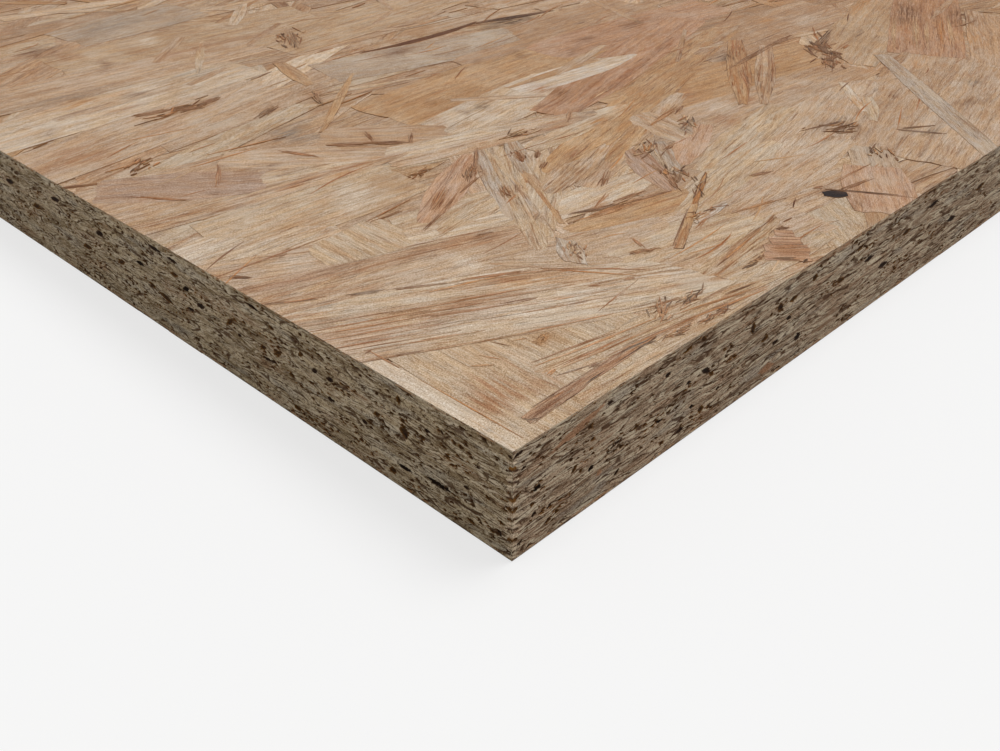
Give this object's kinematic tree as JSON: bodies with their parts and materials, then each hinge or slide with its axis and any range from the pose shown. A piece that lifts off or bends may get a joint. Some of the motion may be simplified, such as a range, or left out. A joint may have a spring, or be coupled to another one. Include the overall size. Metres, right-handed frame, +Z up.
{
  "type": "oriented strand board panel",
  "caption": "Flat rectangular sheet of pressed and glued wood strands with square sawn edges, for floors, walls and roofs.",
  "frame": {"origin": "centre of the lower face, the one that the sheet lies on", "axes": "+X along the sheet's length, the way most face strands lie, +Y across its width, +Z up through its thickness"},
  "size_m": [2.5, 1.25, 0.022],
  "materials": {
    "strand_board": "pressed wood strands, unsanded, with a dull sheen"
  },
  "bodies": {
    "root": {"osb_panel": "strand_board"}
  },
  "joints": []
}
